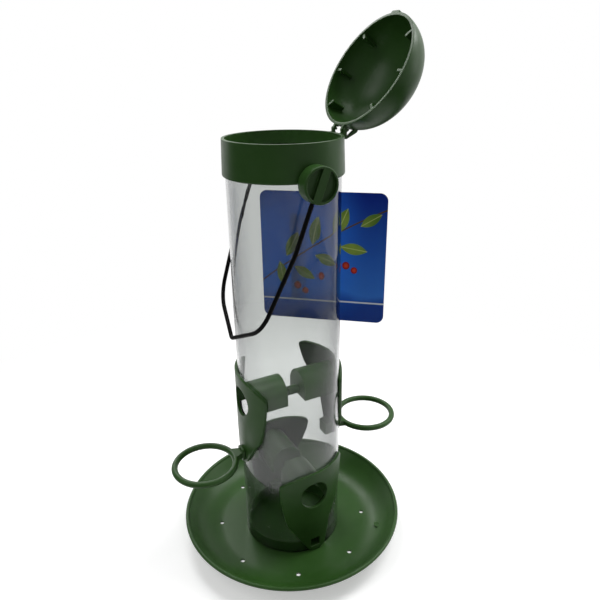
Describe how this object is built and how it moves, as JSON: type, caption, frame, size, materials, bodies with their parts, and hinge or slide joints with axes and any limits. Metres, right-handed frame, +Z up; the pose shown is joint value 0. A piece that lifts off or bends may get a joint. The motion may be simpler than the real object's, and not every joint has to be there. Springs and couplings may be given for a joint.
{
  "type": "hanging tube bird feeder",
  "caption": "Clear tube bird feeder with hooded feeding ports, ring perches, domed hinged lid, wire hanging bail and a round seed tray.",
  "frame": {"origin": "middle of the tray's flat underside, on the tube's axis", "axes": "+Z up along the tube; -Y towards the lower front port and the front knob; +X towards the lid hinge"},
  "size_m": [0.2021, 0.1836, 0.4073],
  "materials": {
    "green": "satin",
    "clear": "clear gloss",
    "wire": "satin black coating",
    "card": "printed gloss"
  },
  "bodies": {
    "feeder_body": {"tray": "green", "tube": "clear", "collar": "green", "info_card": "card", "card_pad": "clear", "port_lower_front": "green", "port_lower_rear": "green", "port_upper_left": "green", "port_upper_right": "green", "perch_left": "green", "perch_right": "green"},
    "lid": {"lid": "green"},
    "bail": {"bail_wire": "wire", "knob_front": "green", "knob_rear": "green"}
  },
  "joints": [
    {"name": "lid_hinge", "type": "hinge", "parent": "feeder_body", "child": "lid", "pos_m": [0.0441, 0, 0.3319], "axis": [0, 1, 0], "range_deg": [-121.7, 0]},
    {"name": "bail_swing", "type": "hinge", "parent": "feeder_body", "child": "bail", "pos_m": [0, 0, 0.3056], "axis": [0, 1, 0], "range_deg": [0, 195]}
  ]
}
